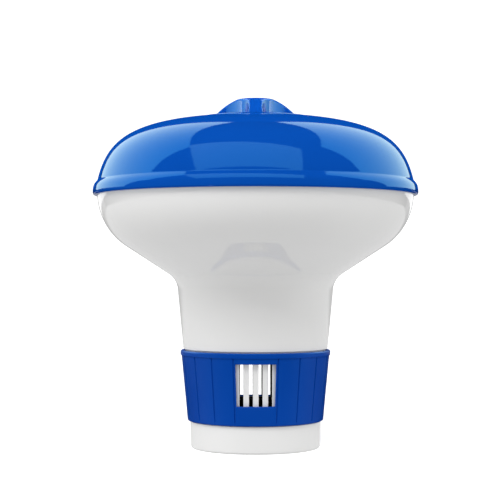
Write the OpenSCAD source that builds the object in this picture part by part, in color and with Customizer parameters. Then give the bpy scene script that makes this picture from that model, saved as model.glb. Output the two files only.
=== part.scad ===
// Floating chlorine dispenser for one-inch tablets.
// A blue dome and a white bowl close a float chamber round a central tablet tube. Tablets drop
// through the filler cap into the neck, and water reaches them through slots behind a turning sleeve.
// Origin: centre of the foot, on the surface that it stands on. +Z is up, millimetres.

/* [Overall] */
// Height from the foot to the top of the grip
total_h = 135; // [134:0.5:138]
// Diameter over the rim of the dome
float_d = 126; // [124:1:130]
// Diameter of the foot
base_d = 50; // [49:0.5:51]

/* [Float shells] */
// Wall of the dome and of the bowl
shell_wall = 2; // [1.8:0.1:2.2]
// Height of the dome's lower edge
rim_z = 97.5; // [96.5:0.5:98]
// Height of the crease where the dome meets its rim
crease_z = 103.6; // [103.4:0.1:104]
// Slope of the bowl's underside, in degrees
bowl_angle = 33; // [32:0.5:34]
// Radius that rounds the bowl's widest part
bowl_round = 24.5; // [20:0.5:25]
// Radius between the bowl and the neck
neck_round = 8; // [5:0.5:10]

/* [Neck and vents] */
// Wall of the neck
neck_wall = 1.8; // [1.6:0.1:1.9]
// Width of one vent slot
slot_w = 1.45; // [1:0.05:2]
// Distance between the slots
slot_pitch = 3.58; // [3.2:0.02:3.6]
// Slots on each side of the neck
slot_count = 4; // [1:1:4]

/* [Flow sleeve] */
// Height of the sleeve's lower edge
sleeve_z = 10.6; // [10.6:0.1:11]
// Wall of the sleeve between its grooves
sleeve_wall = 1.2; // [1.1:0.05:1.3]
// Width of a window at its top
window_top_w = 15.2; // [14.6:0.1:15.4]
// Width of a window at its bottom
window_foot_w = 14.3; // [14.2:0.1:14.6]
// Grip panels on each side, between the windows
panel_count = 8; // [4:1:12]
// Turn from fully open to fully closed, in degrees
sleeve_travel = 90; // [60:5:90]

/* [Tablet tube and cap] */
// Bore that a tablet drops through
bore_d = 27.6; // [27:0.1:28]
// Wall of the tablet tube
tube_wall = 1.6; // [1.4:0.1:1.8]
// Radius of a finger scoop in the cap
scoop_r = 10.4; // [10:0.1:10.8]
// Turn that locks the cap, in degrees
lock_travel = 90; // [80:1:90]

/* [Hidden] */
$fn = 96;
BLUE = "#0B50A8";
SLEEVE_BLUE = "#10459A";
WHITE = "#E4E4E2";
RUBBER = "#2B2D30";

float_r = float_d / 2;
base_r = base_d / 2;
run_gap = 0.35;        // between faces that turn or slide past each other
push_gap = 0.1;        // between pieces pushed together
curve_steps = 18;      // edges in a long curve
round_steps = 6;       // edges in a short round

// Neck: a cone that widens upwards from the base cap
neck_z = 10.4;
neck_foot_r = base_r + 0.28;
neck_taper = 0.0951;
track_depth = 0.6;
track_top = 38.2;
socket_r = neck_foot_r - neck_wall;
socket_top = 16.6;
slot_z = [17.4, 34.4];

// Bowl: a flank that leans out a little, above the sloping underside
flank_r = float_r - 1.75;
flank_lean = 0.08;
lip_top = rim_z + 3.1;
seal_h = 0.8;
snap_z = rim_z + 1.9;  // middle of the snap ring that holds the dome on the bowl
snap_bead = 0.25;      // how far the bowl's ring stands out
snap_groove = 0.3;     // how deep the dome's groove is

// Dome: one smooth curve from the axis to the crease
dome_top = total_h - 6.9;
crease_r = float_r - 1.9;
dome_flat = 46;
dome_drop = [4.2, 17.4];

// Filler: the well in the dome, and the collar on the tube's top that the cap locks into
well_r = 20.5;
well_floor = dome_top - 3.5;
floor_t = 2;
collar_r = 19.1;
bore_r = bore_d / 2;
tube_r = bore_r + tube_wall;
lug_r = bore_r + 1.6;
lug_half = 20;
lug_z = [well_floor - 10.2, well_floor - 7.6];
pocket_z = [lug_z[0] - 0.9, lug_z[1] + run_gap];
pocket_r = lug_r + run_gap;
gap_half = lug_half + 2;
seat_z = pocket_z[0] - 1.4;

// Skirt of the tablet tube, sealed in the neck
skirt_z = 56;
skirt_h = 4.6;
skirt_r = 27.6;
ring_groove = 1.6;
ring_r = 1.2;
ring_z = skirt_z + 2.3;

// Cap
plug_r = bore_r - run_gap;
plug_wall = 1.7;
plug_z = lug_z[0] - 0.7;
flange_r = well_r - 0.6;
flange_z = [well_floor + 0.3, well_floor + 2.8];
seal_r = [16.2, 18.6];
cap_seal_h = 1.4;
grip_arc_r = 25.3;
grip_arc_x = -3.2;
grip_arc_z = total_h - 23.14;
hub_core_r = 5.2;
rib_w = 5.2;
crown_wall = 2;
scoop_d = (scoop_r + rib_w / 2) * sqrt(2);

// Sleeve
sleeve_top = 37.8;
band_z = 35.8;
band_proud = 0.4;
foot_chamfer = 0.8;
window_z = [18, 33.7];
window_half_deg = 17;
groove_w = 0.6;
groove_depth = 0.3;
bead_half = 10;
bead_slack = 1.5;
bead_z = [13.7, 14.6];
bead_depth = 0.65;
bead_angle = -45;

function neck_r(z) = neck_foot_r + neck_taper * (z - neck_z);
function track_r(z) = neck_r(z) - track_depth;
function sleeve_in(z) = track_r(z) + run_gap;
function sleeve_out(z) = sleeve_in(z) + sleeve_wall;
function unit(v) = v / norm(v);

// Cubic curve through a and d, with handles b and c
function bezier(a, b, c, d, n) = [
    for (i = [0:n])
        let (t = i / n)
        pow(1 - t, 3) * a + 3 * pow(1 - t, 2) * t * b + 3 * (1 - t) * t * t * c + pow(t, 3) * d
];

// Arc about c, from angle a0 to a1
function arc(c, r, a0, a1, n) = [
    for (i = [0:n])
        let (a = a0 + (a1 - a0) * i / n)
        c + r * [cos(a), sin(a)]
];

// Arc of radius r that rounds the corner v between a and b
function fillet(a, v, b, r, n) =
    let (
        u = unit(a - v),
        w = unit(b - v),
        half = acos(u * w) / 2,
        c = v + unit(u + w) * r / sin(half),
        p = v + u * r / tan(half) - c,
        q = v + w * r / tan(half) - c,
        a0 = atan2(p[1], p[0]),
        turn = (atan2(q[1], q[0]) - a0 + 540) % 360 - 180
    )
    arc(c, r, a0, a0 + turn, n);

// Corner v moved by t towards the inside of its angle
function moved(a, v, b, t) =
    let (u = unit(a - v), w = unit(b - v))
    v + unit(u + w) * t / sin(acos(u * w) / 2);

// Corners of the bowl's outline: neck, waist, shoulder, lip
waist_slope = [cos(bowl_angle), sin(bowl_angle)];
waist_z = 65.2;
waist = [neck_r(waist_z), waist_z];
neck_point = [neck_r(track_top), track_top];
lip_point = [flank_r, rim_z];
flank_dir = unit([flank_lean, 1]);
// Where the underside's line meets the flank's line
reach = ((lip_point - waist) * [flank_dir[1], -flank_dir[0]])
    / (waist_slope * [flank_dir[1], -flank_dir[0]]);
shoulder = waist + waist_slope * reach;

// A block of a ring, between two angles
module arc_block(r, z, from_deg, to_deg)
    rotate([0, 0, from_deg])
        rotate_extrude(angle = to_deg - from_deg)
            translate([r[0], z[0]])
                square([r[1] - r[0], z[1] - z[0]]);

// A flat ring
module washer(r, z)
    rotate_extrude()
        translate([r[0], z[0]])
            square([r[1] - r[0], z[1] - z[0]]);

// Dome with its rim, and the well that the cap sits in
module top_shell() {
    seam_r = flank_r + push_gap;
    seam_top = lip_top + seal_h;
    inner_r = crease_r - shell_wall + 0.2;
    lip_chamfer = 1.2;
    hole_r = collar_r + push_gap;
    outer = bezier(
        [0, dome_top],
        [dome_flat, dome_top],
        [crease_r - dome_drop[0], crease_z + dome_drop[1]],
        [crease_r, crease_z],
        curve_steps);
    inner = bezier(
        [inner_r, crease_z],
        [crease_r - dome_drop[0] - shell_wall * 0.9, crease_z + dome_drop[1] - shell_wall * 0.6],
        [dome_flat - 1, dome_top - shell_wall],
        [0, dome_top - shell_wall],
        curve_steps);
    rim = bezier(
        [crease_r + 0.2, crease_z - 0.5],
        [float_r - 0.2, crease_z - 2],
        [float_r, crease_z - 3.2],
        [float_r, rim_z + 1.1],
        round_steps);
    bead = arc([float_r - 0.8, rim_z + 0.8], 0.8, 0, -90, round_steps);
    seam = [
        [seam_r, rim_z],
        [seam_r, snap_z - 0.4 - snap_groove],
        [seam_r + snap_groove, snap_z - 0.4],
        [seam_r + snap_groove, snap_z + 0.4],
        [seam_r, snap_z + 0.4 + snap_groove],
        [seam_r, seam_top],
        [inner_r, seam_top]
    ];
    color(BLUE)
        difference() {
            union() {
                rotate_extrude()
                    polygon(concat(outer, rim, bead, seam, inner));
                washer([hole_r, well_r + shell_wall], [well_floor - floor_t, dome_top - 1]);
            }
            translate([0, 0, well_floor])
                cylinder(r = well_r, h = 2 * floor_t + dome_top - well_floor);
            translate([0, 0, dome_top - lip_chamfer])
                cylinder(r1 = well_r, r2 = well_r + 2 * lip_chamfer, h = 2 * lip_chamfer);
            translate([0, 0, well_floor - 3 * floor_t])
                cylinder(r = hole_r, h = 5 * floor_t);
        }
}

// Bowl and neck in one moulding, with the vents and the track that the sleeve turns in
module bottom_shell() {
    lip_in = flank_r + flank_lean * (lip_top - rim_z) - shell_wall;
    neck_in = [neck_r(socket_top + 0.6) - neck_wall, socket_top + 0.6];
    lip_in_point = [lip_in, lip_top];
    waist_in = moved(neck_point, waist, shoulder, -neck_wall);
    shoulder_in = moved(waist, shoulder, lip_point, shell_wall);
    outside = concat(
        [
            [socket_r, neck_z],
            [track_r(neck_z), neck_z],
            [track_r(track_top), track_top],
            neck_point
        ],
        fillet(neck_point, waist, shoulder, neck_round, round_steps),
        fillet(waist, shoulder, lip_point, bowl_round, curve_steps));
    lip = [
        lip_point,
        [flank_r, snap_z - 0.3 - snap_bead],
        [flank_r + snap_bead, snap_z - 0.3],
        [flank_r + snap_bead, snap_z + 0.3],
        [flank_r, snap_z + 0.3 + snap_bead],
        [flank_r, lip_top],
        lip_in_point
    ];
    inside = concat(
        fillet(lip_in_point, shoulder_in, waist_in, bowl_round - shell_wall, curve_steps),
        fillet(shoulder_in, waist_in, neck_in, neck_round + neck_wall, round_steps),
        [neck_in, [socket_r, socket_top]]);
    color(WHITE)
        difference() {
            rotate_extrude()
                polygon(concat(outside, lip, inside));
            for (i = [0:slot_count - 1])
                translate([(i - (slot_count - 1) / 2) * slot_pitch - slot_w / 2, -2 * base_r, slot_z[0]])
                    cube([slot_w, 4 * base_r, slot_z[1] - slot_z[0]]);
            for (side = [0, 180])
                arc_block(
                    [track_r(bead_z[0]) - bead_depth + 0.05, neck_r(bead_z[1])],
                    [bead_z[0] - run_gap, bead_z[1] + run_gap],
                    side + bead_angle - bead_half - bead_slack,
                    side + bead_angle + bead_half + bead_slack + sleeve_travel);
        }
}

// Tube that the tablets drop through, with a sealed skirt at the bottom
module tablet_tube() {
    mouth_r = skirt_r - 3;
    groove_r = skirt_r - ring_groove;
    skirt_top = skirt_z + skirt_h;
    flare_z = skirt_top + mouth_r - bore_r;
    groove_half = ring_r + 0.1;
    color(WHITE)
        rotate_extrude()
            polygon([
                [bore_r, seat_z - push_gap],
                [bore_r, flare_z],
                [mouth_r, skirt_top],
                [mouth_r, skirt_z],
                [skirt_r, skirt_z],
                [skirt_r, ring_z - groove_half],
                [groove_r, ring_z - groove_half],
                [groove_r, ring_z + groove_half],
                [skirt_r, ring_z + groove_half],
                [skirt_r, skirt_top],
                [skirt_r - 0.6, skirt_top + 0.6],
                [mouth_r + 0.6, skirt_top + 1.8],
                [tube_r, flare_z + 0.6],
                [tube_r, seat_z - push_gap]
            ]);
}

// Collar on the tube's top: a flange under the dome's well, and pockets that the cap's lugs turn into
module cap_collar() {
    flange_w = 2.3;
    socket_h = 7;
    sleeve_r = tube_r + 1.7;
    shoulder_z = seat_z - 0.4;
    pocket = [bore_r - 1, pocket_r];
    color(WHITE)
        difference() {
            rotate_extrude()
                polygon([
                    [bore_r, well_floor],
                    [bore_r, seat_z],
                    [tube_r + push_gap, seat_z],
                    [tube_r + push_gap, seat_z - socket_h],
                    [sleeve_r, seat_z - socket_h],
                    [sleeve_r, shoulder_z - collar_r + sleeve_r],
                    [collar_r, shoulder_z],
                    [collar_r, well_floor - 2 * floor_t],
                    [collar_r + flange_w, well_floor - 2 * floor_t],
                    [collar_r + flange_w, well_floor - floor_t],
                    [collar_r, well_floor - floor_t],
                    [collar_r, well_floor]
                ]);
            for (side = [0, 180]) {
                arc_block(pocket, pocket_z, side - gap_half - lock_travel, side + gap_half);
                arc_block(pocket, [lug_z[0], well_floor + 1], side - gap_half, side + gap_half);
            }
        }
}

// Foot of the dispenser: a cup pushed into the neck, with drain holes in its floor
module base_cap() {
    spigot_r = socket_r - push_gap;
    spigot_in = spigot_r - 1.6;
    edge_round = 1;
    floor_z = [2.4, 4.4];
    drain_r = 1.6;
    drain_count = 6;
    drain_ring_r = 12;
    recess_r = base_r - 4.2;
    spigot_chamfer = 0.6;
    color(WHITE)
        difference() {
            rotate_extrude()
                polygon(concat(
                    [[0, floor_z[0]], [recess_r, floor_z[0]], [recess_r + 0.6, 0]],
                    arc([base_r - edge_round, edge_round], edge_round, -90, 0, round_steps),
                    [
                        [neck_foot_r, neck_z],
                        [spigot_r, neck_z],
                        [spigot_r, socket_top - spigot_chamfer],
                        [spigot_r - spigot_chamfer, socket_top],
                        [spigot_in, socket_top],
                        [spigot_in, floor_z[1]],
                        [0, floor_z[1]]
                    ]));
            translate([0, 0, floor_z[0] - 1])
                cylinder(r = drain_r, h = 4);
            for (i = [0:drain_count - 1])
                rotate([0, 0, i * 360 / drain_count])
                    translate([drain_ring_r, 0, floor_z[0] - 1])
                        cylinder(r = drain_r, h = 4);
        }
}

// Flat ring between the bowl's lip and the dome
module rim_seal()
    color(RUBBER)
        washer([flank_r - 1.6, flank_r - 0.1], [lip_top, lip_top + seal_h]);

// O-ring between the tube's skirt and the neck
module tube_seal()
    color(RUBBER)
        rotate_extrude()
            translate([(neck_r(ring_z) - neck_wall + skirt_r - ring_groove) / 2, ring_z])
                circle(r = ring_r, $fn = 48);

// Sleeve that turns on the neck to open or close the vents
module flow_sleeve() {
    outside = [
        [sleeve_out(sleeve_z) - foot_chamfer * 0.6, sleeve_z],
        [sleeve_out(sleeve_z + foot_chamfer), sleeve_z + foot_chamfer],
        [sleeve_out(band_z), band_z],
        [sleeve_out(band_z) + band_proud, band_z + 0.15]
    ];
    lip_round = 0.6;
    lip_r = sleeve_out(band_z) + band_proud - lip_round;
    lip = arc([lip_r, sleeve_top - lip_round], lip_round, 0, 90, round_steps);
    inside = [[sleeve_in(sleeve_top), sleeve_top], [sleeve_in(sleeve_z), sleeve_z]];
    panel_deg = (180 - 2 * window_half_deg) / panel_count;
    lean = atan(neck_taper);
    groove_foot = sleeve_z + foot_chamfer;
    color(SLEEVE_BLUE) {
        difference() {
            rotate_extrude()
                polygon(concat(outside, lip, inside));
            translate([0, 2 * base_r, 0])
                rotate([90, 0, 0])
                    linear_extrude(height = 4 * base_r)
                        polygon([
                            [-window_foot_w / 2, window_z[0]],
                            [window_foot_w / 2, window_z[0]],
                            [window_top_w / 2, window_z[1]],
                            [-window_top_w / 2, window_z[1]]
                        ]);
            for (side = [0, 180], i = [0:panel_count])
                rotate([0, 0, side - 90 + window_half_deg + i * panel_deg])
                    translate([sleeve_out(groove_foot) - groove_depth, -groove_w / 2, groove_foot])
                        rotate([0, lean, 0])
                            cube([2, groove_w, (band_z - groove_foot) / cos(lean)]);
        }
        for (side = [0, 180])
            arc_block(
                [track_r(bead_z[0]) - bead_depth + run_gap, sleeve_in(bead_z[0]) + 0.5],
                bead_z,
                side + bead_angle - bead_half,
                side + bead_angle + bead_half);
    }
}

// Cap with a four-ribbed finger grip and two bayonet lugs
module filler_cap() {
    foot_angle = asin((flange_z[1] - grip_arc_z) / grip_arc_r);
    top_angle = asin((total_h - grip_arc_z) / grip_arc_r);
    grip = arc([grip_arc_x, grip_arc_z], grip_arc_r, foot_angle, top_angle, curve_steps);
    plug_in = plug_r - plug_wall;
    edge_round = 0.8;
    flange_edge = arc(
        [flange_r - edge_round, flange_z[1] - edge_round],
        edge_round,
        0,
        90,
        round_steps);
    crown_z = flange_z[0] + 0.3;
    color(BLUE)
        difference() {
            union() {
                rotate_extrude()
                    polygon(concat(
                        [
                            [0, crown_z],
                            [plug_in, crown_z],
                            [plug_in, plug_z],
                            [plug_r - 0.5, plug_z],
                            [plug_r, plug_z + 0.5],
                            [plug_r, flange_z[0]],
                            [seal_r[0] - run_gap, flange_z[0]],
                            [seal_r[0] - run_gap, well_floor + cap_seal_h],
                            [seal_r[1] + run_gap, well_floor + cap_seal_h],
                            [seal_r[1] + run_gap, flange_z[0]]
                        ],
                        [[flange_r, flange_z[0]]],
                        flange_edge,
                        grip,
                        [[0, total_h]]));
                for (side = [0, 180])
                    arc_block([plug_r - 0.6, lug_r], lug_z, side - lug_half, side + lug_half);
            }
            for (i = [0:3])
                rotate([0, 0, 45 + i * 90])
                    translate([scoop_d, 0, flange_z[1]])
                        cylinder(r = scoop_r, h = total_h - flange_z[1] + 1);
            translate([0, 0, crown_z - 1])
                cylinder(r = hub_core_r, h = total_h - crown_wall - crown_z + 1);
        }
}

// Flat ring under the cap's flange
module cap_seal()
    color(RUBBER)
        washer(seal_r, [well_floor, well_floor + cap_seal_h]);

top_shell();
bottom_shell();
tablet_tube();
cap_collar();
base_cap();
rim_seal();
tube_seal();
flow_sleeve();
filler_cap();
cap_seal();
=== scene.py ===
"""Looks of the floating chlorine dispenser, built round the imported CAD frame. Metres throughout."""

import math

import bmesh
import bpy
import numpy as np
from mathutils import Matrix, Vector


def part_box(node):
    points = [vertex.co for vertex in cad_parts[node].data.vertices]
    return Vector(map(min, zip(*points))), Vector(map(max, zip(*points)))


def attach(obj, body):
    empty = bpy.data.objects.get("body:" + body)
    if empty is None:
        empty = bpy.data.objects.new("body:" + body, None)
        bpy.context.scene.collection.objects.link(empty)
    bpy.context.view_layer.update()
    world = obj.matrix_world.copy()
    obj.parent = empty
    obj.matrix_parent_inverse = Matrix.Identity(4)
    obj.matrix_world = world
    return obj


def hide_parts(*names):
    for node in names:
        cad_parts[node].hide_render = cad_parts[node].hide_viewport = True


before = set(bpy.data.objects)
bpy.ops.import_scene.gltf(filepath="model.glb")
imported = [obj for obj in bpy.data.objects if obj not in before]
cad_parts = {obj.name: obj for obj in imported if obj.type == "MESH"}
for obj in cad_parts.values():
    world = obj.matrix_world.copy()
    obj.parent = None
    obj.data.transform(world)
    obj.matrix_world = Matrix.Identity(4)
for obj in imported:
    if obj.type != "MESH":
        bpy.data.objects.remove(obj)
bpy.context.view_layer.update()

MM = 0.001
FINE = 0.05 * MM  # how close a holding edge lies to a rounded corner
SIDES = (0, 180)
SHARP_DEG = 38  # edges that turn by more than this stay sharp

# Sizes that the frame gives
dome_low, dome_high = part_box("top_shell")
bowl_low, bowl_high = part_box("bottom_shell")
tube_low, tube_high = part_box("tablet_tube")
collar_low, collar_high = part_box("cap_collar")
_, base_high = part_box("base_cap")
sleeve_low, sleeve_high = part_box("flow_sleeve")
cap_low, cap_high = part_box("filler_cap")
seal_low, seal_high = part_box("cap_seal")
ring_low, ring_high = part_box("tube_seal")
gasket_low, gasket_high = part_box("rim_seal")


# ---------------------------------------------------------------- curves


def bezier(a, b, c, d, steps, start=0.0):
    """Points of a cubic curve through a and d, from the share start of its way."""
    t = np.linspace(start, 1, steps + 1)[:, None]
    a, b, c, d = (np.array(p, float) for p in (a, b, c, d))
    return (1 - t) ** 3 * a + 3 * (1 - t) ** 2 * t * b + 3 * (1 - t) * t**2 * c + t**3 * d


def fillet(a, v, b, radius, steps):
    """Arc that rounds the corner v between a and b."""
    a, v, b = (np.array(p[:2], float) for p in (a, v, b))
    u, w = (a - v) / np.linalg.norm(a - v), (b - v) / np.linalg.norm(b - v)
    half = math.acos(float(np.clip(u @ w, -1, 1))) / 2
    centre = v + (u + w) / np.linalg.norm(u + w) * radius / math.sin(half)
    p, q = v + u * radius / math.tan(half) - centre, v + w * radius / math.tan(half) - centre
    start = math.atan2(p[1], p[0])
    turn = (math.atan2(q[1], q[0]) - start + math.pi) % (2 * math.pi) - math.pi
    angles = start + turn * np.linspace(0, 1, steps + 1)
    return centre + radius * np.column_stack([np.cos(angles), np.sin(angles)])


def arc(centre, radius, first_deg, last_deg, steps):
    """Arc about centre."""
    angles = np.radians(np.linspace(first_deg, last_deg, steps + 1))
    return np.array(centre) + radius * np.column_stack([np.cos(angles), np.sin(angles)])


def rounded(points, closed=True, steps=5):
    """Outline whose marked corners become arcs. A point is (r, z), or (r, z, radius of its corner)."""
    out = []
    for i, p in enumerate(points):
        if len(p) == 2 or (not closed and i in (0, len(points) - 1)):
            out.append(np.array(p[:2], float))
            continue
        before, after = points[i - 1], points[(i + 1) % len(points)]
        curve = fillet(before, p, after, p[2], steps)
        # A point close to each end of the arc holds the flat beside it flat
        to_before = np.array(before[:2]) - curve[0]
        to_after = np.array(after[:2]) - curve[-1]
        if np.linalg.norm(to_before) > 3 * FINE:
            out.append(curve[0] + to_before / np.linalg.norm(to_before) * FINE)
        out.extend(curve)
        if np.linalg.norm(to_after) > 3 * FINE:
            out.append(curve[-1] + to_after / np.linalg.norm(to_after) * FINE)
    return np.array(out)


# ---------------------------------------------------------------- meshes


def finish_mesh(name, bm, sharp_deg=SHARP_DEG):
    """Turns bm into a smooth-shaded object with outward normals."""
    bmesh.ops.recalc_face_normals(bm, faces=bm.faces)
    mesh = bpy.data.meshes.new(name)
    bm.to_mesh(mesh)
    bm.free()
    mesh.shade_smooth()
    mesh.set_sharp_from_angle(angle=math.radians(sharp_deg))
    piece = bpy.data.objects.new(name, mesh)
    bpy.context.scene.collection.objects.link(piece)
    return piece


def skin(name, radius, angle, height, holes=(), inside_rows=(), closed=True, sharp_deg=SHARP_DEG):
    """Round shell from grids of radius, angle and height, with rows along its outline and columns round the
    axis. A hole is (first row, last row, partner of the first row, first column, last column): it goes
    through to the partner rows, which run the other way. Faces of inside_rows take the second material. A row
    on the axis is one point."""
    rows, columns = radius.shape
    bm = bmesh.new()
    grid = []
    for i in range(rows):
        if np.all(radius[i] < 1e-7):
            grid.append([bm.verts.new((0, 0, height[i, 0]))] * columns)
            continue
        across, along = radius[i] * np.sin(angle[i]), -radius[i] * np.cos(angle[i])
        grid.append([bm.verts.new((across[j], along[j], height[i, j])) for j in range(columns)])
    open_cells = set()
    for first, last, partner, left, right in holes:
        for j in range(left, right):
            open_cells.update((i, j % columns) for i in range(first, last))
            open_cells.update((partner - 1 - i, j % columns) for i in range(last - first))

    def face(corners, second=False):
        unique = list(dict.fromkeys(corners))
        if len(unique) > 2:
            bm.faces.new(unique).material_index = int(second)

    for i in range(rows if closed else rows - 1):
        k = (i + 1) % rows
        for j in range(columns):
            if (i, j) not in open_cells:
                m = (j + 1) % columns
                face([grid[i][j], grid[i][m], grid[k][m], grid[k][j]], i in inside_rows)
    for first, last, partner, left, right in holes:
        for i in range(last - first):
            near, far = grid[first + i], grid[partner - i]
            near_up, far_up = grid[first + i + 1], grid[partner - i - 1]
            for j in (left % columns, right % columns):
                face([near[j], near_up[j], far_up[j], far[j]])
        for j in range(left, right):
            a, b = j % columns, (j + 1) % columns
            face([grid[first][a], grid[first][b], grid[partner][b], grid[partner][a]])
            top = partner - (last - first)
            face([grid[last][a], grid[last][b], grid[top][b], grid[top][a]])
    return finish_mesh(name, bm, sharp_deg)


def lathe(name, outline, columns=256, closed=True, inside_rows=()):
    """Round shell with the same outline all the way round."""
    outline = np.array(outline)
    ones = np.ones(columns)
    turn = np.linspace(0, 2 * math.pi, columns, endpoint=False)
    return skin(
        name,
        np.outer(outline[:, 0], ones),
        np.tile(turn, (len(outline), 1)),
        np.outer(outline[:, 1], ones),
        inside_rows=inside_rows,
        closed=closed,
    )


def evaluated(piece, name):
    """The piece with its modifiers applied, as a new object; the old one is removed."""
    graph = bpy.context.evaluated_depsgraph_get()
    mesh = bpy.data.meshes.new_from_object(piece.evaluated_get(graph))
    bpy.data.objects.remove(piece)
    mesh.name = name
    made = bpy.data.objects.new(name, mesh)
    bpy.context.scene.collection.objects.link(made)
    return made


def rod(x, y, radius, low, high, columns=96):
    """Upright round cutter."""
    piece = lathe("cutter", [(0, low), (radius, low), (radius, high), (0, high)], columns, closed=False)
    piece.data.transform(Matrix.Translation((x, y, 0)))
    return piece


def combined(piece, others, operation):
    """The piece with the others added by UNION or taken away by DIFFERENCE; they are all removed."""
    for other in others:
        step = piece.modifiers.new("combine", "BOOLEAN")
        step.operation = operation
        step.solver = "EXACT"
        step.object = other
    made = evaluated(piece, piece.name)
    made.data.set_sharp_from_angle(angle=math.radians(SHARP_DEG))
    for other in others:
        bpy.data.objects.remove(other)
    return made


# ---------------------------------------------------------------- materials


# Noise features across a metre: of the tone, the gloss, the scuffs on worn edges and the moulded grain
TONE_SCALE, GLOSS_SCALE, SCUFF_SCALE, GRAIN_SCALE = 28, 60, 420, 2600
GRAIN_DEPTH = 0.05 * MM


def material(name, tone, roughness, tint=(1, 1, 1), ior=1.5, grain=0.0, wear=0.0, mottle=0.04):
    """Moulded plastic or rubber: tone varies a little, with fine grain, uneven gloss and paler worn edges."""
    made = bpy.data.materials.new(name)
    made.use_nodes = True
    nodes, links = made.node_tree.nodes, made.node_tree.links
    shader = nodes["Principled BSDF"]
    place = nodes.new("ShaderNodeTexCoord")

    def noise(scale, detail, rough=0.5):
        node = nodes.new("ShaderNodeTexNoise")
        node.inputs["Scale"].default_value = scale
        node.inputs["Detail"].default_value = detail
        node.inputs["Roughness"].default_value = rough
        links.new(place.outputs["Object"], node.inputs["Vector"])
        return node.outputs["Fac"]

    def spread(value, low, high, start=0.3, end=0.7):
        node = nodes.new("ShaderNodeMapRange")
        node.inputs["From Min"].default_value = start
        node.inputs["From Max"].default_value = end
        node.inputs["To Min"].default_value = low
        node.inputs["To Max"].default_value = high
        links.new(value, node.inputs["Value"])
        return node.outputs["Result"]

    def blend(share, first, second):
        node = nodes.new("ShaderNodeMix")
        node.data_type = "RGBA"
        links.new(share, node.inputs["Factor"])
        for socket, value in ((node.inputs[6], first), (node.inputs[7], second)):
            if isinstance(value, tuple):
                socket.default_value = (*value, 1)
            else:
                links.new(value, socket)
        return node.outputs[2]

    paler = tuple(min(1, c * (1 + mottle) + 0.01 * mottle) for c in tone)
    deeper = tuple(c * (1 - mottle) for c in tone)
    colour = blend(spread(noise(TONE_SCALE, 3), 0, 1), deeper, paler)
    if wear:
        shape = nodes.new("ShaderNodeNewGeometry")
        worn = tuple(min(1, 1.5 * c + 0.05) for c in tone)
        edge = spread(shape.outputs["Pointiness"], 0, wear, 0.53, 0.62)
        scuffs = nodes.new("ShaderNodeMath")
        scuffs.operation = "MULTIPLY"
        links.new(edge, scuffs.inputs[0])
        links.new(spread(noise(SCUFF_SCALE, 4, 0.6), 0, 1, 0.42, 0.62), scuffs.inputs[1])
        colour = blend(scuffs.outputs[0], colour, worn)
    links.new(colour, shader.inputs["Base Color"])
    gloss = spread(noise(GLOSS_SCALE, 4, 0.6), roughness * 0.85, roughness * 1.2)
    links.new(gloss, shader.inputs["Roughness"])
    shader.inputs["IOR"].default_value = ior
    shader.inputs["Specular Tint"].default_value = (*tint, 1)
    if grain:
        bump = nodes.new("ShaderNodeBump")
        bump.inputs["Strength"].default_value = grain
        bump.inputs["Distance"].default_value = GRAIN_DEPTH
        links.new(noise(GRAIN_SCALE, 3, 0.6), bump.inputs["Height"])
        links.new(bump.outputs["Normal"], shader.inputs["Normal"])
    return made


DOME_BLUE = material(
    "dome_blue_gloss", (0.002, 0.070, 0.41), 0.055,
    tint=(0.13, 0.6, 1.0), ior=1.58, grain=0.04, wear=0.5, mottle=0.03,
)
SLEEVE_BLUE = material(
    "sleeve_blue_satin", (0.002, 0.053, 0.37), 0.31,
    tint=(0.04, 0.47, 1.0), grain=0.35, wear=0.4, mottle=0.05,
)
BODY_WHITE = material("body_white_gloss", (0.80, 0.80, 0.795), 0.02, grain=0.02, mottle=0.015)
# Near-black painted shade: the insides of the neck and the base cup take this colour in place of the shade
# inside the vent chamber
INSIDE_PAINTED_SHADE = material("inside_painted_shade", (0.004, 0.004, 0.004), 0.7, grain=0.2, mottle=0.3)
SEAL_RUBBER = material("seal_rubber_black", (0.018, 0.019, 0.021), 0.62, grain=0.5, mottle=0.15)


def dress(piece, body, node, slot, *finishes):
    """Gives a finished piece its materials and its body, and hides the CAD node that it stands for. The slot
    argument is not used.
    """
    for i, finish in enumerate(finishes):
        if i < len(piece.data.materials):
            piece.data.materials[i] = finish
        else:
            piece.data.materials.append(finish)
    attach(piece, body)
    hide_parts(node)
    return piece


# ---------------------------------------------------------------- dome

float_r = dome_high.x
rim_z = dome_low.z
dome_top = cap_high.z - 6.9 * MM
crease_r = float_r - 1.9 * MM
crease_z = rim_z + 6.1 * MM
flank_r = float_r - 1.75 * MM
lip_top = bowl_high.z
seam_r = flank_r + 0.1 * MM
seam_top = gasket_high.z
well_r = 20.5 * MM
well_floor = collar_high.z
floor_t = 2 * MM
hole_r = 19.2 * MM
shell_wall = 2 * MM
snap_z = rim_z + 1.9 * MM


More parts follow.
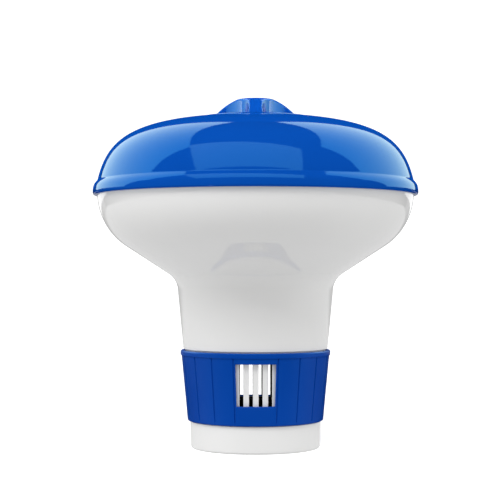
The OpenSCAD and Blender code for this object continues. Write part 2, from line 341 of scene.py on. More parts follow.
def dome_outline():
    """Outline of the dome: well floor, well wall, crown, crease, rim, seam and inner face."""
    crown = bezier((0, dome_top), (46 * MM, dome_top), (crease_r - 4.2 * MM, crease_z + 17.4 * MM),
                   (crease_r, crease_z), 400)
    crown = crown[crown[:, 0] > well_r + 2 * MM][::7]  # from just outside the well's lip, every seventh point
    rim = bezier((crease_r + 0.2 * MM, crease_z - 0.5 * MM), (float_r - 0.2 * MM, crease_z - 2 * MM),
                 (float_r, crease_z - 3.2 * MM), (float_r, rim_z + 1.1 * MM), 14)
    bead = arc((float_r - 0.8 * MM, rim_z + 0.8 * MM), 0.8 * MM, 0, -90, 8)
    crease = bezier(crown[-1], (crease_r + 0.02 * MM, crease_z - 0.15 * MM),
                    (crease_r + 0.05 * MM, crease_z - 0.35 * MM), rim[0], 4)[1:-1]
    inner_r = crease_r - shell_wall + 0.2 * MM
    inner = bezier((inner_r, crease_z),
                   (crease_r - 6 * MM, crease_z + 16.2 * MM), (45 * MM, dome_top - shell_wall),
                   (0, dome_top - shell_wall), 80)
    inner = inner[inner[:, 0] > well_r + shell_wall + 0.5 * MM]
    inner_top = inner[-1][1]
    well = rounded([
        (hole_r, well_floor - floor_t, 0.2 * MM),
        (hole_r, well_floor, 0.2 * MM),
        (well_r, well_floor, 0.3 * MM),
        (well_r, dome_top - 1.2 * MM, 0.5 * MM),
        (well_r + 1.15 * MM, dome_top - 0.06 * MM, 0.6 * MM),
        (crown[0][0], crown[0][1]),
    ], closed=False)[1:-1]
    hole_foot = [(well_r + shell_wall, inner_top), (well_r + shell_wall, well_floor - floor_t),
                 (hole_r + 0.2 * MM, well_floor - floor_t), (hole_r, well_floor - floor_t + 0.2 * MM)]
    seam = [(seam_r, rim_z), (seam_r, snap_z - 0.7 * MM), (seam_r + 0.3 * MM, snap_z - 0.4 * MM),
            (seam_r + 0.3 * MM, snap_z + 0.4 * MM), (seam_r, snap_z + 0.7 * MM), (seam_r, seam_top),
            (inner_r, seam_top)]
    return np.vstack([well, crown, crease, rim, bead, seam, inner, hole_foot])


dome = lathe("dome_shell", dome_outline(), 320)
dress(dome, "float_body", "top_shell", "dome_blue", DOME_BLUE)


# ---------------------------------------------------------------- bowl and neck

neck_z = bowl_low.z
neck_foot_r = 25.28 * MM
neck_taper = 0.0951
neck_wall = 1.8 * MM
track_depth = 0.6 * MM
track_top = 38.2 * MM
bead_groove_depth, bead_reach = 0.6 * MM, 0.65 * MM
lip_lean = 0.08  # how far the bowl's lip leans outwards, as a share of its height
socket_r = neck_foot_r - neck_wall
socket_top = base_high.z
slot_w, slot_pitch, slot_count = 1.45 * MM, 3.58 * MM, 4
slot_low, slot_high = 17.4 * MM, 34.4 * MM
waist_z = 65.2 * MM
bowl_angle = math.radians(33)
edge = 0.12 * MM  # bevel of a slot or window edge
bead_low, bead_high = 13.7 * MM, 14.6 * MM
bead_deg, bead_half_deg = 45, 10  # a bead's middle, from the window beside it, and half its width
groove_end_deg = 11.5  # how far a bead's groove reaches past the bead's middle at each end
travel_deg = 90  # how far the sleeve turns
run_gap = 0.35 * MM


def neck_r(z):
    return neck_foot_r + neck_taper * (z - neck_z)


def track_r(z):
    return neck_r(z) - track_depth


def moved(a, v, b, t):
    """Corner v moved by t towards the inside of its angle."""
    a, v, b = (np.array(p, float) for p in (a, v, b))
    u, w = (a - v) / np.linalg.norm(a - v), (b - v) / np.linalg.norm(b - v)
    return v + (u + w) / np.linalg.norm(u + w) * t / math.sin(math.acos(float(u @ w)) / 2)


def slot_columns():
    """The x of each column that runs up along the front's slots."""
    front = []
    for i in range(slot_count):
        middle = (i - (slot_count - 1) / 2) * slot_pitch
        half = slot_w / 2
        front += [middle - half - edge, middle - half, middle, middle + half, middle + half + edge]
        if i < slot_count - 1:
            front += [middle + slot_pitch / 2 - 0.35 * MM, middle + slot_pitch / 2 + 0.35 * MM]
    return np.array(front)


def neck_grid():
    """Angles of all columns at the neck's foot, the x of those along the slots, and each slot's columns."""
    front = slot_columns()
    reach = math.asin(front[-1] / track_r(slot_low))
    side = np.linspace(reach, math.pi - reach, 92)[1:-1]
    per_slot = 7  # a slot's five columns and the two on the bar beside it
    first = np.arcsin(front / track_r(slot_low))
    angles = np.concatenate([first, side, math.pi + first, side + math.pi])
    follow = np.full(len(angles), np.nan)
    follow[:len(front)] = front
    back = len(front) + len(side)
    follow[back:back + len(front)] = -front
    edges = []
    for start in (0, back):
        for i in range(slot_count):
            edges.append((start + per_slot * i + 1, start + per_slot * i + 3))
    return angles, follow, edges


def bowl_outline():
    """Outline of the bowl and neck. Also the first and last rows of the slots outside and inside, the rows of
    the beads' grooves, and the first row of the inside that takes the near-black painted shade."""
    slope = np.array([math.cos(bowl_angle), math.sin(bowl_angle)])
    waist = np.array([neck_r(waist_z), waist_z])
    neck_point = (neck_r(track_top), track_top)
    lip_point = np.array([flank_r, rim_z])
    lean = np.array([lip_lean, 1]) / math.hypot(lip_lean, 1)
    across = np.array([lean[1], -lean[0]])
    shoulder = waist + slope * ((lip_point - waist) @ across) / (slope @ across)
    bowl_round, neck_round = 24.5 * MM, 8 * MM
    lip_in = (flank_r + lip_lean * (lip_top - rim_z) - shell_wall, lip_top)
    neck_in = (neck_r(socket_top + 0.6 * MM) - neck_wall, socket_top + 0.6 * MM)
    waist_in = moved(neck_point, waist, shoulder, -neck_wall)
    shoulder_in = moved(waist, shoulder, lip_point, shell_wall)

    slot_rows = np.concatenate([[slot_low], np.linspace(slot_low + edge, slot_high - edge, 12), [slot_high]])
    groove_low, groove_high, groove_step = bead_low - run_gap, bead_high + run_gap, 0.06 * MM
    outer = [(socket_r + 0.15 * MM, neck_z), (track_r(neck_z) - 0.15 * MM, neck_z)]
    outer += [(track_r(z), z) for z in (neck_z + 0.15 * MM, 11.5 * MM, groove_low - groove_step)]
    groove_rows = [len(outer), len(outer) + 1]
    outer += [(track_r(z), z) for z in (groove_low, groove_high)]
    outer += [(track_r(z), z) for z in (groove_high + groove_step, 16 * MM, slot_low - edge)]
    first = len(outer)
    outer += [(track_r(z), z) for z in slot_rows]
    last = len(outer) - 1
    outer += [(track_r(z), z) for z in (slot_high + edge, 35.6 * MM, 37 * MM, track_top - 0.12 * MM)]
    outer += [(neck_r(track_top) - 0.15 * MM, track_top),
              (neck_r(track_top + 0.1 * MM), track_top + 0.15 * MM)]
    waist_arc = fillet(neck_point, waist, shoulder, neck_round, 24)
    outer += [tuple(p) for p in np.linspace(outer[-1], waist_arc[0], 7)[1:-1]]
    outer += [tuple(p) for p in waist_arc]
    round_arc = fillet(waist, shoulder, lip_point, bowl_round, 48)
    outer += [tuple(p) for p in np.linspace(waist_arc[-1], round_arc[0], 8)[1:-1]]
    outer += [tuple(p) for p in round_arc]
    outer += [tuple(p) for p in np.linspace(round_arc[-1], lip_point, 6)[1:-1]]
    outer += [tuple(lip_point), (flank_r, snap_z - 0.55 * MM), (flank_r + 0.25 * MM, snap_z - 0.3 * MM),
              (flank_r + 0.25 * MM, snap_z + 0.3 * MM), (flank_r, snap_z + 0.55 * MM),
              (flank_r, lip_top - 0.1 * MM), (flank_r - 0.1 * MM, lip_top), lip_in]
    inner = [tuple(p) for p in fillet(lip_in, shoulder_in, waist_in, bowl_round - shell_wall, 36)]
    inner += [tuple(p) for p in fillet(shoulder_in, waist_in, neck_in, neck_round + neck_wall, 16)]
    # From this row on, the bowl's inside takes the near-black painted shade
    painted_shade_from = len(outer) + len(inner) - 1
    inner += [(neck_r(z) - neck_wall, z) for z in (48 * MM, track_top, 36 * MM, slot_high + edge)]
    inner_first = len(outer) + len(inner)
    inner += [(neck_r(z) - neck_wall, z) for z in slot_rows[::-1]]
    partner = len(outer) + len(inner) - 1
    inner += [neck_in, (socket_r, socket_top), (socket_r, neck_z + 0.15 * MM)]
    return np.array(outer + inner), (first, last), (inner_first, partner), groove_rows, painted_shade_from


def bowl_piece():
    angles, follow, edges = neck_grid()
    outline, (first, last), (inner_first, partner), groove_rows, painted_shade_from = bowl_outline()
    rows, columns = len(outline), len(angles)
    radius = np.outer(outline[:, 0], np.ones(columns))
    height = np.outer(outline[:, 1], np.ones(columns))
    angle = np.tile(angles, (rows, 1))
    # The columns along the slots run straight up, so their angle changes with the radius
    free = np.isnan(follow)
    on_back = np.arange(columns) > columns // 4
    for i in (*range(first, last + 1), *range(inner_first, partner + 1)):
        on_front = np.arcsin(np.where(free, 0, follow) / outline[i, 0])
        angle[i] = np.where(free, angles, np.where(on_back, math.pi - on_front, on_front))
    # Bevel round the slots: their outer edges lie a little deeper
    for left, right in edges:
        radius[first:last + 1, [left, right]] -= edge
        radius[np.ix_([first, last], range(left, right + 1))] = outline[[first, last], 0][:, None] - edge
    # Grooves that the sleeve's beads run in
    degrees = np.degrees(angles) % 360
    for side in SIDES:
        start = side + bead_deg - groove_end_deg
        inside = (degrees - start) % 360 <= travel_deg + 2 * groove_end_deg
        radius[np.ix_(groove_rows, np.where(inside)[0])] = track_r(bead_low) - bead_groove_depth
    holes = [(first, last, partner, left, right) for left, right in edges]
    return skin("bowl_and_neck", radius, angle, height, holes=holes, inside_rows=set(range(painted_shade_from, rows)))


bowl = bowl_piece()
dress(bowl, "float_body", "bottom_shell", "body_white", BODY_WHITE, INSIDE_PAINTED_SHADE)


# ---------------------------------------------------------------- base cap


def base_piece():
    base_r = 25 * MM
    spigot_r = socket_r - 0.1 * MM
    floor_low, floor_high = 2.4 * MM, 4.4 * MM
    foot = arc((base_r - 1 * MM, 1 * MM), 1 * MM, -90, 0, 10)
    outside = rounded([
        (0, floor_low), (base_r - 4.2 * MM, floor_low, 0.3 * MM), (base_r - 3.6 * MM, 0, 0.3 * MM),
        tuple(foot[0]),
    ], closed=False)
    wall = [tuple(p) for p in np.linspace(foot[-1], (neck_foot_r, neck_z - 0.2 * MM), 7)[1:]]
    rest = rounded([
        wall[-1], (neck_foot_r, neck_z, 0.15 * MM), (spigot_r, neck_z), (spigot_r, socket_top - 0.6 * MM),
        (spigot_r - 0.6 * MM, socket_top),
    ], closed=False)
    inside = rounded([
        (spigot_r - 1.6 * MM, socket_top), (spigot_r - 1.6 * MM, floor_high, 0.4 * MM), (0, floor_high),
    ], closed=False)
    outline = np.vstack([outside[:-1], foot, wall[:-1], rest, inside])
    # The inside of the spigot, down to the floor, takes the near-black painted shade
    inside_rows = set(range(len(outline) - len(inside), len(outline)))
    piece = lathe("base_cup", outline, 256, closed=False, inside_rows=inside_rows)
    # The cut keeps the white and the painted shade apart only if the piece has both materials by then
    piece.data.materials.append(BODY_WHITE)
    piece.data.materials.append(INSIDE_PAINTED_SHADE)
    drain_r, drain_ring_r = 1.6 * MM, 12 * MM
    turns = [math.radians(60 * i) for i in range(6)]
    places = [(0.0, 0.0)] + [(drain_ring_r * math.cos(t), drain_ring_r * math.sin(t)) for t in turns]
    drains = [rod(x, y, drain_r, floor_low - 1 * MM, floor_high + 1 * MM, 40) for x, y in places]
    return combined(piece, drains, "DIFFERENCE")


base = base_piece()
dress(base, "float_body", "base_cap", "body_white", BODY_WHITE, INSIDE_PAINTED_SHADE)


# ---------------------------------------------------------------- flow sleeve

sleeve_z, sleeve_top = sleeve_low.z, sleeve_high.z
sleeve_wall = 1.2 * MM
band_z = 35.8 * MM
band_proud = 0.4 * MM
foot_chamfer = 0.8 * MM
window_low, window_high = 18 * MM, 33.7 * MM
window_foot_w, window_top_w = 14.3 * MM, 15.2 * MM
groove_depth = 0.3 * MM
panel_count = 8
first_groove_deg = 17.0
window_deg = math.degrees(math.asin(7.4 * MM / (27.4 * MM)))  # half a window, about half-way up
bevel_deg = math.degrees(0.2 * MM / (27 * MM))  # bevel of a window's side


def sleeve_in(z):
    return track_r(z) + run_gap


def sleeve_out(z):
    return sleeve_in(z) + sleeve_wall


def sleeve_columns():
    """Degrees of the sleeve's columns, and each one's kind: a window's edge, deep in a groove, or plain."""
    panel_deg = (180 - 2 * first_groove_deg) / panel_count
    half_deg = math.degrees(0.3 * MM / (26.6 * MM))  # half a panel groove
    columns = []
    for side in SIDES:
        columns += [(side - window_deg, "edge"), (side - window_deg - bevel_deg, "plain"),
                    (side + window_deg, "edge"), (side + window_deg + bevel_deg, "plain")]
        columns += [(side + d, "plain") for d in np.linspace(-window_deg, window_deg, 11)[1:-1]]
        for k in range(panel_count + 1):
            middle = side + first_groove_deg + k * panel_deg
            columns += [(middle - half_deg, "plain"), (middle - half_deg * 0.45, "deep"),
                        (middle + half_deg * 0.45, "deep"), (middle + half_deg, "plain")]
            if k < panel_count:
                inside = np.linspace(middle + half_deg, middle + panel_deg - half_deg, 9)[1:-1]
                columns += [(d, "plain") for d in inside]
                columns += [(middle + half_deg * 1.5, "plain"),
                            (middle + panel_deg - half_deg * 1.5, "plain")]
    columns = sorted(((d % 360, kind) for d, kind in columns), key=lambda c: c[0])
    return np.array([d for d, _ in columns]), np.array([kind for _, kind in columns])


def sleeve_outline():
    """Outline of the sleeve. Also the rows round the panel grooves, the first and last rows of the windows
    outside and inside, and the rows of the beads."""
    low = sleeve_z + foot_chamfer
    between = np.linspace(window_low + edge, window_high - edge, 12)
    window_rows = np.concatenate([[window_low], between, [window_high]])
    outer = [(sleeve_in(sleeve_z) + 0.1 * MM, sleeve_z),
             (sleeve_out(sleeve_z) - foot_chamfer * 0.75, sleeve_z)]
    outer += [tuple(p) for p in fillet((sleeve_out(sleeve_z) - foot_chamfer * 0.9, sleeve_z),
                                       (sleeve_out(sleeve_z) - 0.1 * MM, sleeve_z + 0.05 * MM),
                                       (sleeve_out(low), low), 0.45 * MM, 5)]
    outer += [(sleeve_out(z), z) for z in (low, low + 0.15 * MM)]
    groove_first = len(outer) - 1
    outer += [(sleeve_out(z), z) for z in (low + 0.35 * MM, 14 * MM, 16 * MM, window_low - edge)]
    first = len(outer)
    outer += [(sleeve_out(z), z) for z in window_rows]
    last = len(outer) - 1
    outer += [(sleeve_out(z), z) for z in (window_high + edge, 34.8 * MM, band_z - 0.08 * MM, band_z)]
    groove_last = len(outer)
    band_r = sleeve_out(band_z) + band_proud
    outer += [(band_r - 0.08 * MM, band_z + 0.08 * MM), (band_r, band_z + 0.2 * MM),
              (band_r, band_z + 0.4 * MM)]
    outer += [tuple(p) for p in arc((band_r - 0.6 * MM, sleeve_top - 0.6 * MM), 0.6 * MM, 0, 90, 8)]
    inner = [(sleeve_in(sleeve_top) + 0.25 * MM, sleeve_top), (sleeve_in(sleeve_top), sleeve_top - 0.25 * MM)]
    inner += [(sleeve_in(z), z) for z in (36 * MM, window_high + edge)]
    inner_first = len(outer) + len(inner)
    inner += [(sleeve_in(z), z) for z in window_rows[::-1]]
    partner = len(outer) + len(inner) - 1
    inner += [(sleeve_in(z), z) for z in (window_low - edge, 16 * MM, bead_high + 0.12 * MM)]
    bead_rows = [len(outer) + len(inner), len(outer) + len(inner) + 1]
    inner += [(sleeve_in(z), z) for z in (bead_high, bead_low)]
    inner += [(sleeve_in(z), z) for z in (bead_low - 0.12 * MM, 12 * MM, sleeve_z + 0.1 * MM)]
    outline = np.array(outer + inner)
    return outline, (groove_first, groove_last), (first, last), (inner_first, partner), bead_rows


def sleeve_piece():
    degrees, kinds = sleeve_columns()
    outline, (groove_first, groove_last), (first, last), (inner_first, partner), bead_rows = sleeve_outline()
    signed = (degrees + 180) % 360 - 180
    rows, count = len(outline), len(degrees)
    radius = np.outer(outline[:, 0], np.ones(count))
    height = np.outer(outline[:, 1], np.ones(count))
    angle = np.tile(np.radians(degrees), (rows, 1))
    deep = np.where(kinds == "deep")[0]
    radius[groove_first + 1:groove_last, deep] -= groove_depth
    radius[groove_last, deep] = sleeve_out(band_z)
    # The windows' sides lean a little, so their columns move with the height
    sides = np.where(kinds == "edge")[0]
    for i in (*range(first, last + 1), *range(inner_first, partner + 1)):
        share = (outline[i, 1] - window_low) / (window_high - window_low)
        half = (window_foot_w + (window_top_w - window_foot_w) * share) / 2
        turn = math.degrees(math.asin(half / outline[i, 0]))
        for j in sides:
            near = 0 if abs(signed[j]) < 90 else 180
            offset = (degrees[j] - near + 180) % 360 - 180
            angle[i, j] = math.radians(near + math.copysign(turn, offset))
            following = (j + 1) % count if offset > 0 else (j - 1) % count
            angle[i, following] = math.radians(near + math.copysign(turn + bevel_deg, offset))

    def column_at(deg):
        return int(np.argmin(np.abs((degrees - deg + 180) % 360 - 180)))

    holes = []
    for near in SIDES:
        left, right = column_at(near - window_deg), column_at(near + window_deg)
        if right < left:
            right += count
        holes.append((first, last, partner, left, right))
        span = [j % count for j in range(left, right + 1)]
        radius[np.ix_([first, last], span)] -= edge
        radius[np.ix_(range(first + 1, last), [left % count, right % count])] -= edge
    for side in SIDES:
        inside = np.where((degrees - (side + bead_deg - bead_half_deg)) % 360 <= 2 * bead_half_deg)[0]
        radius[np.ix_(bead_rows, inside)] = track_r(bead_low) - bead_reach + run_gap
    return skin("vent_sleeve", radius, angle, height, holes=holes)


sleeve = sleeve_piece()
dress(sleeve, "sleeve", "flow_sleeve", "sleeve_blue", SLEEVE_BLUE)


# ---------------------------------------------------------------- tablet tube and seals

bore_r = 13.8 * MM
tube_r = bore_r + 1.6 * MM
collar_r = 19.1 * MM
lug_half_deg = 20
lug_low, lug_high = well_floor - 10.2 * MM, well_floor - 7.6 * MM
pocket_low, pocket_high = lug_low - 0.9 * MM, lug_high + run_gap
pocket_r = bore_r + 1.6 * MM + run_gap
gap_deg = lug_half_deg + 2
lock_deg = 90


def tube_piece():
    """The tube with its skirt and the groove of the O-ring."""
    skirt_low, skirt_high = tube_low.z, tube_low.z + 4.6 * MM
    skirt_r = tube_high.x
    mouth_r = skirt_r - 3 * MM
    flare_z = skirt_high + mouth_r - bore_r
    groove_r = skirt_r - 1.6 * MM
    ring_z = (ring_low.z + ring_high.z) / 2
    groove_half = 1.3 * MM
    top = tube_high.z
    shaft = np.linspace(top - 2 * MM, flare_z + 3 * MM, 7)
    outline = rounded([
        (bore_r, top, 0.3 * MM), *[(bore_r, z) for z in shaft], (bore_r, flare_z, 2 * MM),
        (mouth_r, skirt_high, 0.4 * MM), (mouth_r, skirt_low, 0.3 * MM), (skirt_r, skirt_low, 0.3 * MM),
        (skirt_r, ring_z - groove_half), (groove_r, ring_z - groove_half), (groove_r, ring_z + groove_half),
        (skirt_r, ring_z + groove_half), (skirt_r, skirt_high), (skirt_r - 0.6 * MM, skirt_high + 0.6 * MM),
        (mouth_r + 0.6 * MM, skirt_high + 1.8 * MM), (tube_r, flare_z + 0.6 * MM, 2 * MM),
        *[(tube_r, z) for z in shaft[::-1]], (tube_r, top, 0.3 * MM),
    ])
    return lathe("tablet_tube_moulding", outline, 224)


def collar_piece():
    """The collar on the tube's top, with its flange and the pockets of the cap's lugs."""
    seat_z = pocket_low - 1.4 * MM
    socket_z = collar_low.z
    socket_r = tube_r + 0.1 * MM
    hub_r = tube_r + 1.7 * MM
    shoulder_z = seat_z - 0.4 * MM
    flange_r = collar_high.x
    top = well_floor
    step = 0.06 * MM
    bore_rows = [top - 0.2 * MM, pocket_high + step, pocket_high, pocket_low, pocket_low - step]
    inner = [(bore_r + 0.2 * MM, top)] + [(bore_r, z) for z in bore_rows]
    pocket_rows = [3, 4]  # of inner, at the pocket's roof and floor
    gap_rows = [0, 1, 2, *pocket_rows]
    rest = rounded([
        inner[-1], (bore_r, seat_z), (socket_r, seat_z),
        (socket_r, socket_z, 0.3 * MM), (hub_r, socket_z, 0.3 * MM),
        (hub_r, shoulder_z - collar_r + hub_r, 0.8 * MM), (collar_r, shoulder_z, 0.5 * MM),
        (collar_r, top - 4 * MM, 0.2 * MM), (flange_r, top - 4 * MM, 0.2 * MM),
        (flange_r, top - 2 * MM, 0.2 * MM), (collar_r, top - 2 * MM, 0.2 * MM),
        (collar_r, top, 0.2 * MM), (bore_r, top),
    ], closed=False)[1:-1]
    outline = np.vstack([inner, rest])

    # Columns every 2.5 degrees, and a pair close together at each end of a gap or pocket
    wall_half_deg = 0.12
    degrees = set(np.round(np.arange(0, 360, 2.5) + 0.7, 3))
    for side in SIDES:
        for end in (side + 90 - gap_deg - lock_deg, side + 90 - gap_deg, side + 90 + gap_deg):
            for d in (end - wall_half_deg, end + wall_half_deg):
                degrees.add(round(d % 360, 3))
    degrees = np.array(sorted(degrees))
    rows, count = len(outline), len(degrees)
    radius = np.outer(outline[:, 0], np.ones(count))
    for side in SIDES:
        gap = np.where((degrees - (side + 90 - gap_deg)) % 360 <= 2 * gap_deg)[0]
        pocket = np.where((degrees - (side + 90 - gap_deg - lock_deg)) % 360 <= 2 * gap_deg + lock_deg)[0]
        radius[np.ix_(gap_rows, gap)] = pocket_r
        radius[0, gap] += 0.2 * MM
        radius[np.ix_(pocket_rows, pocket)] = pocket_r
    return skin("bayonet_collar", radius, np.tile(np.radians(degrees), (rows, 1)),
                np.outer(outline[:, 1], np.ones(count)), sharp_deg=30)


tube = tube_piece()
dress(tube, "float_body", "tablet_tube", "body_white", BODY_WHITE)
collar = collar_piece()
dress(collar, "float_body", "cap_collar", "body_white", BODY_WHITE)


def ring_piece(name, low, high, thickness, corner):
    """Flat or square ring with rounded corners, as wide as its node."""
    outer_r = high.x
    return lathe(name, rounded([
        (outer_r - thickness, low.z, corner), (outer_r, low.z, corner),
        (outer_r, high.z, corner), (outer_r - thickness, high.z, corner),
    ], steps=4), 192)


gasket = ring_piece("rim_gasket", gasket_low, gasket_high, 1.5 * MM, 0.2 * MM)
dress(gasket, "float_body", "rim_seal", "seal_rubber", SEAL_RUBBER)
ring_r = (ring_high.z - ring_low.z) / 2
ring = lathe("tube_o_ring", arc((ring_high.x - ring_r, ring_low.z + ring_r), ring_r, 0, 360, 24)[:-1], 192)
dress(ring, "float_body", "tube_seal", "seal_rubber", SEAL_RUBBER)
washer = ring_piece("cap_washer", seal_low, seal_high, 2.4 * MM, 0.3 * MM)
dress(washer, "cap_ring", "cap_seal", "seal_rubber", SEAL_RUBBER)


# ---------------------------------------------------------------- filler cap

cap_top = cap_high.z
flange_r = 19.9 * MM
flange_low, flange_high = well_floor + 0.3 * MM, well_floor + 2.8 * MM
scoop_r = 10.4 * MM
rib_w = 5.2 * MM
scoop_place = scoop_r + rib_w / 2  # along X and along Y


def lug_piece(side, inner_r, outer_r):
    """One of the cap's two bayonet lugs."""
    loop = [(inner_r, lug_low), (outer_r, lug_low), (outer_r, lug_high), (inner_r, lug_high)]
    bm = bmesh.new()
    slices = []
    for t in np.radians(np.linspace(side + 90 - lug_half_deg, side + 90 + lug_half_deg, 25)):
        slices.append([bm.verts.new((r * math.sin(t), -r * math.cos(t), z)) for r, z in loop])
    for a, b in zip(slices, slices[1:]):
        for k in range(len(loop)):
            m = (k + 1) % len(loop)
            bm.faces.new([a[k], a[m], b[m], b[k]])
    bm.faces.new(slices[0])
    bm.faces.new(slices[-1])
    return finish_mesh("lug", bm)


def cap_piece():
    grip_r, grip_x, grip_z = 25.3 * MM, -3.2 * MM, cap_top - 23.14 * MM
    foot_deg = math.degrees(math.asin((flange_high - grip_z) / grip_r))
    top_deg = math.degrees(math.asin((cap_top - grip_z) / grip_r))
    grip = arc((grip_x, grip_z), grip_r, foot_deg, top_deg, 40)
    plug_r, plug_in = bore_r - run_gap, bore_r - run_gap - 1.7 * MM
    plug_z = cap_low.z
    crown_z = flange_low + 0.3 * MM
    core_r, core_top = 5.2 * MM, cap_top - 2 * MM
    seal_in, seal_out = 16.2 * MM - run_gap, 18.6 * MM + run_gap
    seal_z = seal_high.z
    outline = [(0, core_top), (core_r, core_top), (core_r, crown_z), (plug_in, crown_z), (plug_in, plug_z),
               (plug_r - 0.5 * MM, plug_z), (plug_r, plug_z + 0.5 * MM), (plug_r, flange_low),
               (seal_in, flange_low), (seal_in, seal_z), (seal_out, seal_z), (seal_out, flange_low),
               (flange_r, flange_low)]
    outline += [tuple(p) for p in arc((flange_r - 0.8 * MM, flange_high - 0.8 * MM), 0.8 * MM, 0, 90, 8)]
    outline += [tuple(p) for p in grip] + [(0, cap_top)]
    body = lathe("grip_cap", outline, 192, closed=False)
    lugs = [lug_piece(side, plug_r - 0.6 * MM, plug_r + 1.95 * MM) for side in SIDES]
    body = combined(body, lugs, "UNION")
    body = combined(body, [
        rod(x * scoop_place, y * scoop_place, scoop_r, flange_high, cap_top + 1 * MM, 192)
        for x in (-1, 1) for y in (-1, 1)
    ], "DIFFERENCE")
    remesh = body.modifiers.new("round", "REMESH")
    remesh.mode = "VOXEL"
    remesh.voxel_size = 0.22 * MM
    remesh.use_smooth_shade = True
    smooth = body.modifiers.new("soften", "SMOOTH")
    smooth.factor = 0.5
    smooth.iterations = 16
    body = evaluated(body, "grip_cap")
    body.data.shade_smooth()
    return body


cap = cap_piece()
dress(cap, "cap", "filler_cap", "dome_blue", DOME_BLUE)


# ---------------------------------------------------------------- floor, light and camera

scene = bpy.context.scene
scene.view_settings.view_transform = "Standard"
scene.view_settings.look = "None"

world = bpy.data.worlds.new("studio")
scene.world = world
world.use_nodes = True
world.node_tree.nodes["Background"].inputs["Color"].default_value = (1, 1, 1, 1)
world.node_tree.nodes["Background"].inputs["Strength"].default_value = 0.66
world.cycles_visibility.glossy = False


def floor_piece():
    """Round floor that curves up into a wall all round."""
    reach, bend, wall_top = 2.4, 0.9, 3.0
    turn = np.linspace(0.05, math.pi / 2, 24)
    sweep = np.column_stack([reach - bend + bend * np.sin(turn), bend - bend * np.cos(turn)])
    return lathe("studio_floor", [(0, 0), (reach - bend, 0), *sweep, (reach, wall_top)], 96, closed=False)


def floor_material():
    made = bpy.data.materials.new("studio_paper")
    made.use_nodes = True
    shader = made.node_tree.nodes["Principled BSDF"]
    shader.inputs["Base Color"].default_value = (0.93, 0.93, 0.93, 1)
    shader.inputs["Roughness"].default_value = 0.9
    shader.inputs["Specular IOR Level"].default_value = 0.0
    shader.inputs["Emission Color"].default_value = (1, 1, 1, 1)
    shader.inputs["Emission Strength"].default_value = 0.45
    return made


floor = floor_piece()
floor.data.materials.append(floor_material())
floor.visible_diffuse = False
floor.visible_glossy = False
floor.visible_shadow = False


def toward(x, y, z, reach):
    """Point at that reach from the dome, along a direction."""
    return Vector((0, 0, 0.115)) + Vector((x, y, z)).normalized() * reach


def soft_box(name, corners, strength, tones=((1, 1, 1),), lights=False):
    """Glowing panel that the camera doesn't see, of one tone or with a tone at each corner. It lights the
    pieces, or else it shows only in their gloss."""
    tones = [Vector(tone) for tone in (tones * 4 if len(tones) == 1 else tones)]
    steps = 16
    bm = bmesh.new()
    glow_at = bm.verts.layers.float_color.new("glow")
    grid = []
    for i in range(steps + 1):
        for j in range(steps + 1):
            u, v = i / steps, j / steps
            shares = ((1 - u) * (1 - v), u * (1 - v), u * v, (1 - u) * v)
            vert = bm.verts.new(sum((Vector(c) * w for c, w in zip(corners, shares)), Vector()))
            vert[glow_at] = (*sum((tone * w for tone, w in zip(tones, shares)), Vector()), 1)
            grid.append(vert)
    for i in range(steps):
        for j in range(steps):
            k = i * (steps + 1) + j
            bm.faces.new([grid[k], grid[k + steps + 1], grid[k + steps + 2], grid[k + 1]])
    mesh = bpy.data.meshes.new(name)
    bm.to_mesh(mesh)
    bm.free()
    panel = bpy.data.objects.new(name, mesh)
    scene.collection.objects.link(panel)
    glow = bpy.data.materials.new(name + "_glow")
    glow.use_nodes = True
    nodes, links = glow.node_tree.nodes, glow.node_tree.links
    nodes.remove(nodes["Principled BSDF"])
    tone = nodes.new("ShaderNodeVertexColor")
    tone.layer_name = "glow"
    light = nodes.new("ShaderNodeEmission")
    light.inputs["Strength"].default_value = strength
    links.new(tone.outputs["Color"], light.inputs["Color"])
    links.new(light.outputs[0], nodes["Material Output"].inputs["Surface"])
    mesh.materials.append(glow)
    panel.visible_camera = False
    panel.visible_shadow = False
    panel.visible_diffuse = lights
    panel.visible_glossy = not lights
    return panel


# Tones of the soft boxes and of the cards
SKY = (0.31, 0.70, 0.76)
PALE_SKY = (0.67, 0.85, 0.78)
FRONT_SKY = (0.48, 0.56, 0.50)
CARD = (1.6, 1.12, 0.8)
DEEP_BLUE = (0.001, 0.075, 0.42)


def dimmed(tone, share):
    return tuple(c * share for c in tone)


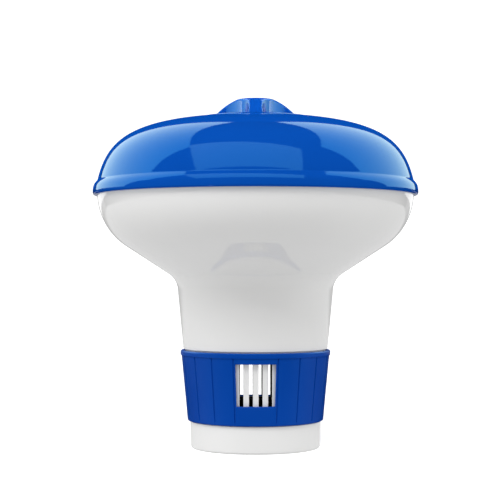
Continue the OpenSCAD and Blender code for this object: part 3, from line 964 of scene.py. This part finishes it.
# Some panels show in one group of pieces alone: the cards in the cap, the strips and the floor's gloss in the
# white bowl and base
cap_only = bpy.data.collections.new("cap_only")
cap_only.objects.link(cap)
body_only = bpy.data.collections.new("body_only")
body_only.objects.link(bowl)
body_only.objects.link(base)
floor_gloss = soft_box("floor_gloss", [
    (-0.6, -0.9, -0.001), (0.6, -0.9, -0.001), (0.6, 0.6, -0.001), (-0.6, 0.6, -0.001),
], 0.8)
floor_gloss.light_linking.receiver_collection = body_only
for sign, name in ((-1, "left"), (1, "right")):
    soft_box(f"soft_box_{name}", [
        toward(sign * 0.58, -0.26, 0.78, 1.0),
        toward(sign * 0.08, 0.61, 0.78, 1.0),
        toward(sign * 0.54, 0.84, 0.045, 1.3),
        toward(sign * 0.99, -0.06, 0.05, 1.3),
    ], 3.6, (dimmed(SKY, 0.85), dimmed(PALE_SKY, 0.75), dimmed(PALE_SKY, 0.65), dimmed(SKY, 1.05)))
    soft_box(f"lamp_{name}", [
        toward(sign * 0.9, -0.55, 0.1, 1.6),
        toward(sign * 0.9, 0.35, 0.1, 1.6),
        toward(sign * 0.9, 0.35, -0.8, 1.6),
        toward(sign * 0.9, -0.55, -0.8, 1.6),
    ], 1.6, lights=True)
    strip = soft_box(f"strip_{name}", [
        (sign * 0.15, 0.3, 0.122), (sign * 0.38, 0.3, 0.122),
        (sign * 0.38, 0.3, 0.098), (sign * 0.15, 0.3, 0.074),
    ], 1.5)
    strip.light_linking.receiver_collection = body_only
    card = soft_box(f"card_{name}", [
        toward(sign * 0.98, 0.2, 0.3, 1.2), toward(sign * 0.35, -0.94, 0.3, 1.2),
        toward(sign * 0.35, -0.94, 0.0, 1.2), toward(sign * 0.98, 0.2, 0.0, 1.2),
    ], 7.0, (CARD, dimmed(CARD, 0.25), dimmed(CARD, 0.25), CARD))
    card.light_linking.receiver_collection = cap_only
soft_box("soft_box_front", [
    toward(-0.56, -0.21, 0.80, 1.1), toward(0.43, -0.46, 0.78, 1.1),
    toward(0.5, -0.75, 0.42, 1.3), toward(-0.62, -0.66, 0.42, 1.3),
], 3.2, (FRONT_SKY,))
soft_box("lamp_front", [
    toward(-1.5, -0.9, 2.0, 1.8), toward(0.5, -0.9, 2.0, 1.8),
    toward(0.5, -1.4, 1.35, 1.8), toward(-1.5, -1.4, 1.35, 1.8),
], 6.8, lights=True)
soft_box("lamp_below", [
    (-0.35, -0.35, -0.45), (0.35, -0.35, -0.45), (0.35, 0.35, -0.45), (-0.35, 0.35, -0.45),
], 0.5, lights=True)
soft_box("backdrop_low", [
    (-1.0, 1.2, 0.16), (1.0, 1.2, 0.16), (1.0, 1.2, -0.8), (-1.0, 1.2, -0.8),
], 0.4)
soft_box("backdrop_high", [
    (-0.7, 1.4, 0.18), (0.7, 1.4, 0.18), (0.5, 1.2, 1.6), (-0.5, 1.2, 1.6),
], 1.0, (DEEP_BLUE,))

lens = bpy.data.cameras.new("camera")
lens.sensor_width = 36
lens.lens = 101.789
lens.clip_start, lens.clip_end = 0.01, 20
camera = bpy.data.objects.new("camera", lens)
scene.collection.objects.link(camera)
camera.location = (-0.0026, -0.55, 0.0681)
camera.rotation_euler = (math.radians(90.87), 0, math.radians(-0.05))
bpy.context.scene.camera = camera
